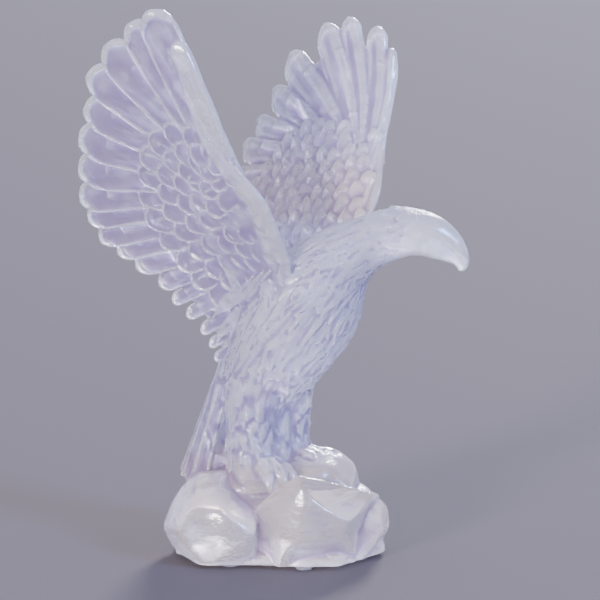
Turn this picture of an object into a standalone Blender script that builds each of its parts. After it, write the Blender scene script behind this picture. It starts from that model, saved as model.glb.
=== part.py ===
"""Eagle with raised wings on a rock: one satin crystal casting on four clear bumper feet.

The casting is drawn on a grid whose unit is one millimetre at the real height, and is
scaled to FIGURE_HEIGHT at the end. The bird faces +X and its right wing is on the -Y side.
"""
import math

import bmesh
import bpy
import numpy as np
from mathutils import Vector

# Driving sizes, in metres
FIGURE_HEIGHT = 0.315
ROCK_BREADTH = 0.120
ROCK_DEPTH = 0.090
BUMPER_DIAMETER = 0.0105
BUMPER_HEIGHT = 0.0022
BUMPER_GAP = 0.0003
# Bumper centres from the rock's middle: towards the right of its broad front, and forward
BUMPER_PLACES = {"bumper_right": (-0.028, 0.026), "bumper_front": (0.014, 0.033),
                 "bumper_back": (-0.032, -0.026), "bumper_left": (0.028, -0.028)}
BUMPER_TURNS = 20
FUSE_CELL = 0.0014
CASTING_TRIANGLES = 9500

# The drawing grid
DRAWN_HEIGHT = 315.0
DRAWN_ROCK_BREADTH = 120.0
DRAWN_ROCK_DEPTH = 90.0
UNIT = FIGURE_HEIGHT / DRAWN_HEIGHT
UNDERSIDE = BUMPER_HEIGHT + BUMPER_GAP

# Wing blade, in drawing units: where it leaves the shoulder and how it spreads
WING_ROOT = (8.0, 30.0, 176.0)
WING_SPREAD = 52.0
WING_SPAN = 150.0
WING_TOE = math.radians(8.0)
WING_CAMBER = 8.0
WING_FRONT = -25.0
WING_CHORD = 150.0
LOWER_SLOPE = 0.25
# How far the feathers' roots are covered: least, and how much further in the middle of the fan
COVERT_REACH, COVERT_SWELL = 7, 35
# How far flight feathers lap, how long their round tips are in feather widths, how thick the
# first and the last are, and how far they bow
RIGHT_LAP, RIGHT_ROUND = 1.18, 0.72
LEFT_LAP, LEFT_ROUND = 0.78, 0.55
EDGE_FEATHER_WIDTH = 0.45
FIRST_THICK, LAST_THICK = 5.4, 4.4
FIRST_BOW, LAST_BOW = 2.5, -2.5
# A feather narrows towards its root, and its edges are tilted and rise above its face
ROOT_WIDTH, EDGE_TILT, RIM_HEIGHT = 0.72, 1.5, 1.0

# Flight feather tips as (back from the root, up from the root), from the leading edge round
RIGHT_TIPS = np.array([
    (16, 121), (32, 138), (46, 131), (65, 118), (79, 102), (87, 82), (97, 63), (104, 44), (110, 27),
    (110, 15), (108, 3), (99, -4), (89, -12), (76, -22), (69, -32), (61, -40), (53, -49), (49, -57),
    (47, -65)])
LEFT_TIPS = np.array([
    (-14, 111), (-1, 123), (21, 127), (40, 122), (67, 102), (75, 80), (83, 61), (89, 46), (98, 27),
    (100, 14), (98, 2), (92, -6), (84, -14), (73, -23), (66, -33), (59, -42), (52, -50), (48, -58),
    (46, -66)])
# Where those feathers leave the arm, and the leading edge, for each wing
RIGHT_ARM = np.array([(-4, 40), (8, 56), (22, 52), (30, 32), (28, 8), (20, -14), (14, -36)])
LEFT_ARM = np.array([(-16, 44), (-2, 54), (16, 50), (28, 32), (28, 8), (20, -14), (14, -36)])
RIGHT_EDGE = np.array([
    (-16, -30), (-21, -8), (-22, 12), (-20, 33), (-11, 47), (-1, 62), (4, 79), (8, 101), (13, 117)])
LEFT_EDGE = np.array([
    (-16, -30), (-24, -8), (-28, 12), (-30, 32), (-26, 46), (-23, 62), (-22, 80), (-21, 96), (-18, 108)])

# Covert scales on the outer face, which lie along the feathers, and on the inner face, which all
# point up: how far rows and the scales in them are apart, length and width of a scale, and smooth
# band left beside the leading edge
OUTER_COVERTS = dict(row_gap=11.5, gap=9.6, length=21, width=11.2, band=10)
INNER_COVERTS = dict(row_gap=8.0, gap=9.6, length=13, width=11.0, band=7)
OUTER_ROWS, INNER_ROWS, INNER_COLUMNS = 8, 20, 18
INNER_TOP, INNER_FRONT, INNER_SLOPE = 78, -34, 0.12
# Scales: height of their tips over the blade, how much lower their roots are, thickness, rims, and
# how much shorter those beside the smooth band are, over how far from it
COVERT_HEIGHT, COVERT_DROP, COVERT_THICK, COVERT_RIM = 4.9, 5.6, 3.6, 0.5
COVERT_SHORTENING, COVERT_FADE = 0.45, 12
# No scale ends closer to another than this share of the gap between rows
CROWDING = 0.62
# Rows lean from along the feathers to away from the leading edge over this far past the arm
LEAN_START, LEAN_RANGE = -14, 28
# The smooth arm along the leading edge: width and half thickness, at the top and at the root
ARM_TOP_WIDTH, ARM_ROOT_WIDTH = 8.0, 23.0
ARM_TOP_HALF, ARM_ROOT_HALF = 2.8, 6.4
# It is rounded off in front, falls away behind, and is thinner over this share of its length where
# it starts in the breast
ARM_ROUNDING, ARM_FALL, ARM_START, ARM_START_HALF = 1.9, 0.8, 0.2, 0.3
# Half thickness of the blade under the feathers, and of the flesh between them and the arm
WEB_ROOT_HALF, WEB_TIP_HALF, WEB_REACH = 3.4, 1.0, 0.77
FLESH_ROOT_HALF, FLESH_TOP_HALF, FLESH_EDGE_ROWS = 5.0, 3.0, 5.0

# Limbs and trunk along their spines: x, y, z, half width, half depth, turn in degrees
TRUNK = np.array([
    (-11, 0, 70, 18, 14, 0),
    (-12, 0, 88, 23, 18, 0),
    (-8, 0, 104, 26, 22, 0),
    (2, 0, 120, 30, 26, 0),
    (15, 1, 139, 32, 28, 2),
    (27, 3, 159, 29, 26, 8),
    (38, 7, 173, 22, 20, 16),
    (50, 12, 182, 15.5, 15.5, 24),
    (63, 20, 188.5, 13.5, 14.0, 30),
    (73, 25.5, 190.5, 13, 13.4, 32),
    (81, 30.5, 189, 11, 12.2, 32),
    (87, 34.4, 185.6, 8.6, 11, 32),
    (92, 37.6, 181.6, 6.4, 8.8, 32),
    (95.6, 39.8, 177.4, 4.6, 6.4, 32),
    (97.2, 41, 173, 3.0, 4.2, 32),
    (96.6, 40.8, 169, 1.4, 1.9, 32)])
# From the breast up to the wing root, on the left
SHOULDER = np.array([
    (12, 8, 122, 12, 15, 0),
    (16, 15, 140, 13, 16, 0),
    (16, 21, 155, 10.5, 14, 0),
    (11, 26, 169, 6.5, 10, 0),
    (6, 30, 184, 2.5, 4, 0)])

# Crystal left standing between the legs and the tail, for strength
SKIRT = np.array([
    (-16, 0, 112, 20, 20, 0), (-20, 0, 90, 15, 26, 0), (-24, 0, 66, 14, 31, 0), (-29, 0, 44, 17, 34, 0)])
# One leg, with its distance from the middle of the bird
LEG_STANCE = 15
LEG = np.array([
    (-4, -2, 112, 15, 18, 0), (-8, -1, 92, 15, 17, 0), (-9, 0, 72, 13, 14, 0), (-6, 1, 56, 12, 14, 0),
    (-4, 1, 40, 11, 14, 0)])
# A toe: reach from the ankle, drop, half thickness; and the headings the toes of a foot take
TOE = ((0, 0, 6), (8, 1, 5.5), (15, 3, 5), (20, 6, 3.4), (23, 10, 1.8), (24, 13, 0.9))
TOE_HEADINGS = (-24, 0, 24)
FOOT_TURN = 10
ANKLE = np.array([-2, 16, 57])
# Tail feathers stand in a bow round the back of the legs: centres, half widths and depths of the
# bow at their roots and at their tips, and how far round it the outermost are
TAIL_COUNT = 9
TAIL_ROOT, TAIL_ROOT_BOW = np.array([-23.0, 0, 112.0]), (15, 13)
TAIL_TIP, TAIL_TIP_BOW = np.array([-33.0, 0, 40.0]), (25, 31)
TAIL_SWEEP = math.radians(84)
TAIL_WIDTH, TAIL_THICKNESS, TAIL_TIP_SHARE = 12, 4.5, 0.07
# Locks on the body: rows, their places along the trunk, length, width and height on the broadest
# girth, and width of girth to each lock
BODY_ROWS, BODY_TOP, BODY_BOTTOM = 19, 0.8, 8.4
BODY_LOCK = (21, 9, 2.6)
BODY_GIRTH, LOCK_SPACING = 30, 3.2
# Locks on a leg: rows, locks round, top level, spacing, distance from the leg's middle, and
# length, width and height
LEG_ROWS, LEG_ROUND, LEG_TOP, LEG_STEP, LEG_RADIUS = 4, 8, 100, 13, 14
LEG_LOCK = (17, 8, 2.6)
# Locks from the shoulder down over the crease between wing and body: rows, locks in a row, first
# place on the wing, steps from lock to lock and from row to row, and length, width and height
FLANK_ROWS, FLANK_LOCKS = 3, 5
FLANK_START, FLANK_STEP, FLANK_DROP = (-6, -8), (9.0, -4.5), 20
FLANK_LOCK = (28, 9, 3.0)
FLANK_RISE, FLANK_WAY = 5.0, (1.0, -1.2)

# The rock is drawn square to its broad front, which faces between the bird's front and right
ROCK_TURN = math.radians(40)
STONE_SQUARENESS = 0.8
# Stones: centre (right, forward, up), radii, then flats by heading from the front towards the
# right, slope and distance from the centre
STONES = [
    ((-35, 10, 23), (34, 32, 30),
     [(-22, 2, 27), (-78, 32, 23), (-66, -26, 27), (-34, 56, 23), (40, 66, 20), (88, 0, 23)]),
    ((-42, 6, 5), (18, 20, 13), [(-40, 20, 14), (-20, 50, 11)]),
    ((18, 18, 22), (42, 34, 44),
     [(-44, 24, 28.5), (-54, -4, 27), (-12, 34, 29.5), (28, 40, 27), (14, -4, 23.5), (64, -8, 27),
      (20, -32, 21), (197, 40, 2)]),
    ((14, 6, 2), (46, 33, 16), [(0, 90, 12), (10, 55, 22), (-30, 30, 27), (50, 30, 31)]),
    ((42, 4, 20), (23, 26, 24),
     [(80, 6, 18.5), (44, 40, 19), (100, 46, 19), (74, -34, 18), (0, 90, 18), (24, 4, 19)]),
    ((-4, -2, 34), (44, 30, 28),
     [(-6, 4, 24), (-8, 62, 22), (-62, 46, 28), (40, 26, 26), (0, 90, 24), (180, 30, 22)]),
    ((25, -3, 41), (23.5, 20.5, 22), [(78, 16, 18), (70, 44, 16), (15, 20, 17), (20, 62, 17)]),
    ((-3, -6, 3), (57, 42, 9), [(0, 90, 7)]),
    ((-30, -20, 20), (28, 24, 26), [(-120, 20, 20), (180, 15, 19), (0, 90, 19)]),
    ((22, -26, 20), (28, 22, 24), [(180, 20, 17), (130, 30, 18), (0, 90, 18)])]


def along(table, place):
    """A smooth curve through the rows of a table, at a place counted in rows."""
    rows = len(table)
    first = int(min(max(place, 0), rows - 2))
    f = place - first
    a, b, c, d = (table[min(max(first + k, 0), rows - 1)] for k in (-1, 0, 1, 2))
    return 0.5 * (2 * b + (c - a) * f + (2 * a - 5 * b + 4 * c - d) * f ** 2
                  + (3 * b - a - 3 * c + d) * f ** 3)


def unit(vector):
    return vector / np.linalg.norm(vector)


def ease(value):
    """A smooth step from 0 to 1."""
    value = np.clip(value, 0, 1)
    return value * value * (3 - 2 * value)


class Casting:
    """Collects closed shells, which overlap and are fused into one body afterwards."""

    def __init__(self):
        self.points = []
        self.faces = []
        self.count = 0

    def add(self, points, faces):
        self.faces.extend([[i + self.count for i in face] for face in faces])
        self.points.append(points)
        self.count += len(points)

    def loft(self, rings):
        """Skins a row of rings of equally many points and closes both ends."""
        size = len(rings[0])
        faces = [list(range(size)), [i + size * (len(rings) - 1) for i in range(size)][::-1]]
        for k in range(len(rings) - 1):
            for i in range(size):
                j = (i + 1) % size
                faces.append([k * size + i, (k + 1) * size + i, (k + 1) * size + j, k * size + j])
        self.add(np.concatenate(rings), faces)


def ring(centre, across, deep, half_width, half_depth, count=20):
    turn = np.linspace(0, 2 * math.pi, count, endpoint=False)
    return (centre + np.outer(np.cos(turn) * half_width, across)
            + np.outer(np.sin(turn) * half_depth, deep))


def spine_frame(table, place):
    """Centre, sideways axis, belly-to-back axis and half sizes of a table row."""
    row = along(table, place)
    step = along(table, place + 0.05)[:3] - along(table, place - 0.05)[:3]
    turn = math.radians(row[5])
    across = np.array([-math.sin(turn), math.cos(turn), 0.0])
    deep = unit(np.cross(unit(step), across))
    return row[:3], across, deep, row[3], row[4]


def tube(casting, table, steps=4, count=20):
    """A limb or trunk skinned along its table."""
    places = np.linspace(0, len(table) - 1, steps * (len(table) - 1) + 1)
    casting.loft([ring(*spine_frame(table, place), count) for place in places])


def wing_point(side, back, up, out):
    """A place on a wing: back and up from its root, and out from its blade."""
    back, up, out = np.broadcast_arrays(back, up, out)
    share = np.clip(up / WING_SPAN, 0, 1)
    spread = np.where(up > 0, WING_SPREAD * np.sin(math.pi / 2 * share), LOWER_SLOPE * up)
    slope = np.where(up > 0, WING_SPREAD * math.pi / 2 / WING_SPAN * np.cos(math.pi / 2 * share), LOWER_SLOPE)
    chord = np.clip((back - WING_FRONT) / WING_CHORD, 0, 1)
    y = WING_ROOT[1] + spread + back * math.sin(WING_TOE) - WING_CAMBER * 4 * chord * (1 - chord)
    x = WING_ROOT[0] - back * math.cos(WING_TOE)
    z = WING_ROOT[2] + up
    normal = np.stack([np.full_like(slope, math.sin(WING_TOE)), np.ones_like(slope), -slope], -1)
    normal /= np.linalg.norm(normal, axis=-1, keepdims=True)
    place = np.stack([x, y, z], -1) + normal * out[..., None]
    return place * np.array([1, side, 1])


def feather(casting, side, base, tip, width, thick, lift=(0.0, 0.0), tilt=0.0, rim=0.0, bow=0.0, steps=12,
            tip_round=0.62):
    """A blade with a round tip, dished between raised rims, tilted to lap its neighbour."""
    base, tip = np.asarray(base, float), np.asarray(tip, float)
    run = tip - base
    length = np.linalg.norm(run)
    sideways = np.array([-run[1], run[0]]) / length
    rounding = min(tip_round * width / length, 0.9)
    u = np.linspace(-1, 1, 9)[None, :]
    t = np.sin(math.pi / 2 * np.linspace(0, 1, steps + 1))[:, None]
    past = np.clip((t - 1 + rounding) / rounding, 0, 1)
    taper = ROOT_WIDTH + (1 - ROOT_WIDTH) * np.minimum(2 * t, 1)
    half = width / 2 * taper * np.sqrt(np.maximum(1 - past ** 2, 0.01))
    back = base[0] + run[0] * t + sideways[0] * (bow * np.sin(math.pi * t) + half * u)
    up = base[1] + run[1] * t + sideways[1] * (bow * np.sin(math.pi * t) + half * u)
    middle = lift[0] + (lift[1] - lift[0]) * t - tilt * u
    relief = thick / 2 * (0.62 + 0.38 * t) * (1 - 0.35 * past)
    crown = np.where(np.abs(u) > 0.99, relief / 2, relief - rim * (1 - u ** 6))
    casting.loft(np.concatenate([wing_point(side, back, up, middle + crown),
                                 wing_point(side, back, up, middle - crown)[:, ::-1]], axis=1))


def fan(tips, arm, share):
    """Base and tip of the feather that lies at a share of the fan."""
    return along(arm, share * (len(arm) - 1)), along(tips, share * (len(tips) - 1))


def slab(side, back, up, half):
    """A ring through the blade of a wing, as far out on one face as on the other."""
    return np.concatenate([wing_point(side, back, up, half), wing_point(side, back, up, -half)[::-1]])


def web(casting, side, tips, arm):
    """The blade under the feathers, which closes the wing between them."""
    reach = np.linspace(-0.1, WEB_REACH, 9)
    half = np.linspace(WEB_ROOT_HALF, WEB_TIP_HALF, len(reach))
    rings = []
    for share in np.linspace(0, 1, 35):
        base, tip = fan(tips, arm, share)
        rings.append(slab(side, *(base[:, None] + np.outer(tip - base, reach)), half))
    casting.loft(rings)


def shoulder_web(casting, side, arm, edge):
    """The fleshy part of the wing between its leading edge and the roots of the feathers."""
    reach = np.linspace(0.1, 1.1, 8)
    rings = []
    for share in np.linspace(0, 1, 16):
        front = along(edge, FLESH_EDGE_ROWS * share)
        rear = along(arm, (len(arm) - 1) * (1 - 0.8 * share))
        half = FLESH_ROOT_HALF + (FLESH_TOP_HALF - FLESH_ROOT_HALF) * share
        rings.append(slab(side, *(front[:, None] + np.outer(rear - front, reach)), half))
    casting.loft(rings)


def leading_edge(casting, side, edge):
    """The smooth arm of the wing: a flat band on the outer face, and only a rim on the inner."""
    rows = len(edge)
    turn = np.linspace(0, 2 * math.pi, 24, endpoint=False)
    chord = (1 - np.cos(turn)) / 2
    outer = np.minimum(1, ARM_ROUNDING * np.sqrt(chord)) * (1 - ARM_FALL * ease((chord - 0.2) / 0.8))
    inner = ARM_ROUNDING * np.sqrt(chord) * (1 - chord) ** 3
    swell = np.where(turn < math.pi, outer, -inner)
    rings = []
    for place in np.linspace(0, rows - 1, 28):
        share = place / (rows - 1)
        centre = along(edge, place)
        step = along(edge, place + 0.05) - along(edge, place - 0.05)
        across = np.array([step[1], -step[0]]) / np.linalg.norm(step)
        inward = chord * (ARM_TOP_WIDTH + (ARM_ROOT_WIDTH - ARM_TOP_WIDTH) * (1 - share) ** 0.8)
        half = ARM_TOP_HALF + (ARM_ROOT_HALF - ARM_TOP_HALF) * (1 - share)
        start = ARM_START_HALF + (1 - ARM_START_HALF) * ease(share / ARM_START)
        back, up = centre[:, None] + np.outer(across, inward)
        rings.append(wing_point(side, back, up, swell * half * start))
    casting.loft(rings)


def flight_feathers(casting, side, tips, arm, lap, tip_round):
    """The long feathers, each as wide as the spacing of the tips asks, to lap the next."""
    count = len(tips)
    gaps = np.linalg.norm(np.diff(tips, axis=0), axis=1)
    for k in range(count):
        share = k / (count - 1)
        base, tip = fan(tips, arm, share)
        spacing = (gaps[max(k - 1, 0)] + gaps[min(k, count - 2)]) / 2
        width = (EDGE_FEATHER_WIDTH if k == 0 else lap) * spacing
        feather(casting, side, base, tip, width, thick=FIRST_THICK + (LAST_THICK - FIRST_THICK) * share,
                tilt=EDGE_TILT, rim=RIM_HEIGHT, bow=FIRST_BOW + (LAST_BOW - FIRST_BOW) * share,
                tip_round=tip_round)


def covert_reach(share):
    """How far along the feathers their roots are covered."""
    return COVERT_REACH + COVERT_SWELL * math.sin(math.pi * share)


def outer_spots(tips, arm, edge_line, row_gap, gap):
    """Ends and ways of the scales in rows that follow the fan of the feathers inwards."""
    shares = np.linspace(0.02, 1, 100)
    for row in range(OUTER_ROWS):
        line, ways = [], []
        for share in shares:
            base, tip = fan(tips, arm, share)
            reach = covert_reach(share) - row * row_gap
            outward = unit(tip - base)
            gaps = np.linalg.norm(edge_line - base, axis=1)
            inward = unit(edge_line[gaps.argmin()] - base)
            lean = ease((reach - LEAN_START) / LEAN_RANGE)
            line.append(base + outward * max(reach, 0) + inward * min(max(-reach, 0), gaps.min()))
            ways.append(outward * (0.35 + 0.65 * lean) - inward * (1 - lean))
        walked = np.concatenate([[0], np.cumsum(np.linalg.norm(np.diff(line, axis=0), axis=1))])
        count = max(2, round(walked[-1] / gap))
        for k in range(count):
            nearest = min(np.searchsorted(walked, (k + 0.25 + 0.5 * (row % 2)) / count * walked[-1]), 99)
            yield line[nearest], unit(ways[nearest])


def inner_spots(tips, arm, edge_line, row_gap, gap):
    """Ends and ways of the scales in level rows between the leading edge and the feathers."""
    cover = []
    for share in np.linspace(0, 1, 60):
        base, tip = fan(tips, arm, share)
        cover.append(base + unit(tip - base) * covert_reach(share))
    border = np.concatenate([edge_line, cover])
    following = np.roll(border, -1, axis=0)
    rise = following[:, 1] - border[:, 1]
    for row in range(INNER_ROWS):
        for k in range(INNER_COLUMNS):
            back = INNER_FRONT + (k + 0.5 * (row % 2)) * gap
            up = INNER_TOP - row * row_gap - INNER_SLOPE * back
            crossed = (border[:, 1] > up) != (following[:, 1] > up)
            share = (up - border[crossed, 1]) / rise[crossed]
            where = border[crossed, 0] + (following[crossed, 0] - border[crossed, 0]) * share
            if (where > back).sum() % 2:
                yield np.array([back, up]), unit(np.array([0.2 + 0.004 * back, 1]))


def coverts(casting, side, tips, arm, edge, face, row_gap, gap, length, width, band):
    """Staggered rows of scales from over the feathers' roots in to the leading edge."""
    edge_line = np.array([along(edge, place) for place in np.linspace(0, len(edge) - 1, 120)])
    spots = outer_spots if face > 0 else inner_spots
    ends = []
    for end, run in spots(tips, arm, edge_line, row_gap, gap):
        room = np.linalg.norm(edge_line - end, axis=1).min()
        crowded = ends and np.linalg.norm(np.array(ends) - end, axis=1).min() < CROWDING * row_gap
        if room < band or crowded:
            continue
        ends.append(end)
        fit = 1 - COVERT_SHORTENING * max(0, 1 - (room - band) / COVERT_FADE)
        feather(casting, side, end - run * length * fit, end, width, thick=COVERT_THICK,
                lift=(face * (COVERT_HEIGHT - COVERT_DROP), face * COVERT_HEIGHT), rim=COVERT_RIM, steps=7)


def flank(casting, side):
    """Long locks from the shoulder down over the crease between wing and body."""
    for row in range(FLANK_ROWS):
        for k in range(FLANK_LOCKS):
            back, up = np.array(FLANK_START) + np.array(FLANK_STEP) * k - (0, FLANK_DROP * row)
            root = wing_point(side, back, up, FLANK_RISE)
            run = unit(wing_point(side, back + FLANK_WAY[0], up + FLANK_WAY[1], FLANK_RISE) - root)
            out = np.array([0.25, side, 0.1])
            tuft(casting, root, run, unit(out - run * np.dot(run, out)), *FLANK_LOCK)


def wing(casting, side, tips, arm, edge, lap, tip_round):
    web(casting, side, tips, arm)
    shoulder_web(casting, side, arm, edge)
    leading_edge(casting, side, edge)
    flight_feathers(casting, side, tips, arm, lap, tip_round)
    coverts(casting, side, tips, arm, edge, 1, **OUTER_COVERTS)
    coverts(casting, side, tips, arm, edge, -1, **INNER_COVERTS)
    flank(casting, side)


def legs(casting):
    for side in (-1, 1):
        leg = LEG.astype(float)
        leg[:, 1] = side * (LEG_STANCE + LEG[:, 1])
        tube(casting, leg, count=14)
        for heading in TOE_HEADINGS:
            toe(casting, side, math.radians(heading + side * FOOT_TURN))


def toe(casting, side, turn):
    """A toe laid over the rock, ending in a hooked claw."""
    forward = np.array([math.cos(turn), math.sin(turn), 0])
    ankle = ANKLE * (1, side, 1)
    rows = []
    for reach, drop, half in TOE:
        rows.append((*(ankle + forward * reach - (0, 0, drop)), half, half, math.degrees(turn)))
    tube(casting, np.array(rows), steps=2, count=10)


def tail(casting):
    """Long stiff feathers from the rump down to the rock, in a bow round the back of the legs."""
    for turn in np.linspace(-TAIL_SWEEP, TAIL_SWEEP, TAIL_COUNT):
        ends = []
        for centre, (half_width, depth) in ((TAIL_ROOT, TAIL_ROOT_BOW), (TAIL_TIP, TAIL_TIP_BOW)):
            ends.append(centre + (-depth * math.cos(turn), half_width * math.sin(turn), 0))
        outward = np.array([-math.cos(turn), math.sin(turn), 0.1])
        strip(casting, *ends, outward, TAIL_WIDTH, TAIL_THICKNESS)


def strip(casting, root, tip, outward, width, thick):
    """A straight blade in space with a raised outline, for the tail."""
    run = unit(tip - root)
    across = unit(np.cross(run, outward))
    out = unit(np.cross(across, run))
    length = np.linalg.norm(tip - root)
    u = np.linspace(-1, 1, 7)
    rings = []
    for t in np.linspace(0, 1, 9):
        past = max(0.0, (t - 1 + TAIL_TIP_SHARE) / TAIL_TIP_SHARE)
        half = width / 2 * (0.7 + 0.3 * t) * math.sqrt(max(1 - past ** 2, 0.05))
        crown = thick / 2 * (0.75 + 0.25 * np.abs(u) ** 3)
        crown = np.where(np.abs(u) > 0.99, thick * 0.25, crown)
        centre = root + run * length * t
        top = centre + np.outer(u * half, across) + np.outer(crown, out)
        bottom = centre + np.outer(u * half, across) - np.outer(crown, out)
        rings.append(np.concatenate([top, bottom[::-1]]))
    casting.loft(rings)


def tuft(casting, root, run, out, length, width, height):
    """A short pointed lock of feathers lying on the body, its point standing clear."""
    across = np.cross(out, run)
    rings = []
    for t in np.linspace(0, 1, 6):
        half = width / 2 * math.sin(math.pi * (0.16 + 0.8 * t)) ** 0.8
        centre = root + run * length * t + out * height * (1.2 * t - 0.5)
        rings.append(ring(centre, across, out, half, height * (1.05 - 0.8 * t), 8))
    casting.loft(rings)


def skin_point(table, place, turn, sink):
    """A place on a tube's skin, at an angle round it, with the way out from it."""
    centre, across, deep, half_width, half_depth = spine_frame(table, place)
    side, back = math.cos(turn), math.sin(turn)
    out = unit(side * half_depth * across + back * half_width * deep)
    return centre + sink * (across * side * half_width + deep * back * half_depth), out


def body_tufts(casting):
    """Locks that run from the throat down the breast, flanks and back, in staggered rows."""
    for row in range(BODY_ROWS):
        place = BODY_TOP + (BODY_BOTTOM - BODY_TOP) * row / (BODY_ROWS - 1)
        girth = along(TRUNK, place)[3]
        count = int(round(6 + girth / LOCK_SPACING))
        size = 0.5 + 0.5 * min(girth / BODY_GIRTH, 1)
        for k in range(count):
            turn = 2 * math.pi * (k + 0.5 * (row % 2)) / count
            root, out = skin_point(TRUNK, place, turn, 0.98)
            below, _ = skin_point(TRUNK, place - 0.5, turn, 0.98)
            run = unit(below - root)
            out = unit(out - run * np.dot(run, out))
            tuft(casting, root, run, out, *(size * value for value in BODY_LOCK))


def leg_tufts(casting):
    for side in (-1, 1):
        for row in range(LEG_ROWS):
            for k in range(LEG_ROUND):
                turn = 2 * math.pi * (k + 0.5 * (row % 2)) / LEG_ROUND
                out = np.array([math.cos(turn), math.sin(turn), 0])
                root = np.array([-8, side * LEG_STANCE, LEG_TOP - LEG_STEP * row]) + out * LEG_RADIUS
                tuft(casting, root, np.array([0, 0, -1.0]), out, *LEG_LOCK)


def rock_to_world(points):
    """Turns places in the rock's own axes to face the way its broad front faces."""
    right = np.array([math.cos(ROCK_TURN), math.sin(ROCK_TURN), 0])
    forward = np.array([math.sin(ROCK_TURN), -math.cos(ROCK_TURN), 0])
    return points @ np.array([right, forward, (0, 0, 1)])


def stone(casting, centre, radii, flats):
    """A rounded block with planes struck off it."""
    mesh = bmesh.new()
    bmesh.ops.create_icosphere(mesh, subdivisions=4, radius=1.0)
    for vertex in mesh.verts:
        vertex.co = [math.copysign(abs(c) ** STONE_SQUARENESS, c) * r for c, r in zip(vertex.co, radii)]
    for heading, slope, distance in flats:
        a, e = math.radians(heading), math.radians(slope)
        normal = Vector((math.sin(a) * math.cos(e), math.cos(a) * math.cos(e), math.sin(e)))
        every = mesh.verts[:] + mesh.edges[:] + mesh.faces[:]
        bmesh.ops.bisect_plane(mesh, geom=every, plane_co=normal * distance, plane_no=normal,
                               clear_outer=True)
        bmesh.ops.holes_fill(mesh, edges=[edge for edge in mesh.edges if edge.is_boundary])
    mesh.verts.index_update()
    points = np.array([vertex.co[:] for vertex in mesh.verts]) + centre
    faces = [[vertex.index for vertex in face.verts] for face in mesh.faces]
    mesh.free()
    stretch = (ROCK_BREADTH / DRAWN_ROCK_BREADTH / UNIT, ROCK_DEPTH / DRAWN_ROCK_DEPTH / UNIT, 1)
    casting.add(rock_to_world(points * stretch), faces)


def material(name, colour, roughness, see_through):
    made = bpy.data.materials.new(name)
    made.use_nodes = True
    shader = made.node_tree.nodes["Principled BSDF"]
    shader.inputs["Base Color"].default_value = (*colour, 1)
    shader.inputs["Roughness"].default_value = roughness
    shader.inputs["Metallic"].default_value = 0.0
    shader.inputs["Transmission Weight"].default_value = see_through
    return made


def new_object(name, mesh, collection, finish):
    made = bpy.data.objects.new(name, mesh)
    collection.objects.link(made)
    if finish:
        mesh.materials.append(finish)
    return made


def floor_cutter(collection):
    """The slab that saws the underside flat."""
    mesh = bpy.data.meshes.new("underside_saw")
    shape = bmesh.new()
    size = FIGURE_HEIGHT
    bmesh.ops.create_cube(shape, size=size)
    bmesh.ops.translate(shape, verts=shape.verts, vec=(0, 0, UNDERSIDE - size / 2))
    shape.to_mesh(mesh)
    shape.free()
    saw = new_object("underside_saw", mesh, collection, None)
    saw.hide_render = True
    saw.display_type = "WIRE"
    return saw


def bumpers(parts, finish):
    """Clear domed feet under the rock, turned from one profile."""
    radius = BUMPER_DIAMETER / 2
    for name, place in BUMPER_PLACES.items():
        profile = [(0, BUMPER_HEIGHT), (radius, BUMPER_HEIGHT), (radius, BUMPER_HEIGHT * 0.6),
                   (radius * 0.93, BUMPER_HEIGHT * 0.25), (radius * 0.72, 0), (0, 0)]
        mesh = bpy.data.meshes.new(name)
        mesh.from_pydata([(x, 0, z) for x, z in profile], [(k, k + 1) for k in range(5)], [])
        foot = new_object(name, mesh, parts, finish)
        foot.location = rock_to_world(np.array([*place, 0]))
        turned = foot.modifiers.new("turned", "SCREW")
        turned.steps = turned.render_steps = BUMPER_TURNS
        turned.use_merge_vertices = True
        turned.merge_threshold = 0.00001


def eagle(parts, tools, finish):
    casting = Casting()
    tube(casting, TRUNK)
    for side in (-1, 1):
        tube(casting, SHOULDER * (1, side, 1, 1, 1, 1), count=14)
    wing(casting, -1, RIGHT_TIPS, RIGHT_ARM, RIGHT_EDGE, RIGHT_LAP, RIGHT_ROUND)
    wing(casting, 1, LEFT_TIPS, LEFT_ARM, LEFT_EDGE, LEFT_LAP, LEFT_ROUND)
    legs(casting)
    tube(casting, SKIRT, count=16)
    tail(casting)
    body_tufts(casting)
    leg_tufts(casting)
    for shape in STONES:
        stone(casting, *shape)
    points = np.concatenate(casting.points) * UNIT
    mesh = bpy.data.meshes.new("eagle_figurine")
    mesh.from_pydata(points.tolist(), [], casting.faces)
    shape = bmesh.new()
    shape.from_mesh(mesh)
    bmesh.ops.recalc_face_normals(shape, faces=shape.faces)
    shape.to_mesh(mesh)
    shape.free()
    figurine = new_object("eagle_figurine", mesh, parts, finish)
    fuse = figurine.modifiers.new("fuse", "REMESH")
    fuse.mode = "VOXEL"
    fuse.voxel_size = FUSE_CELL
    bpy.context.view_layer.update()
    fused = figurine.evaluated_get(bpy.context.evaluated_depsgraph_get()).data
    thin = figurine.modifiers.new("thin", "DECIMATE")
    thin.ratio = CASTING_TRIANGLES / (2 * len(fused.polygons))
    trim = figurine.modifiers.new("flat_underside", "BOOLEAN")
    trim.operation = "DIFFERENCE"
    trim.object = floor_cutter(tools)
    return figurine


def main():
    for old in list(bpy.data.objects):
        bpy.data.objects.remove(old)
    parts = bpy.data.collections.new("crystal_eagle_figurine")
    tools = bpy.data.collections.new("cutters")
    bpy.context.scene.collection.children.link(parts)
    bpy.context.scene.collection.children.link(tools)
    crystal = material("satin_crystal", (0.86, 0.87, 0.93), 0.45, 0.8)
    eagle(parts, tools, crystal)
    bumpers(parts, material("clear_polymer", (0.9, 0.91, 0.93), 0.15, 0.9))


main()
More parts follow.
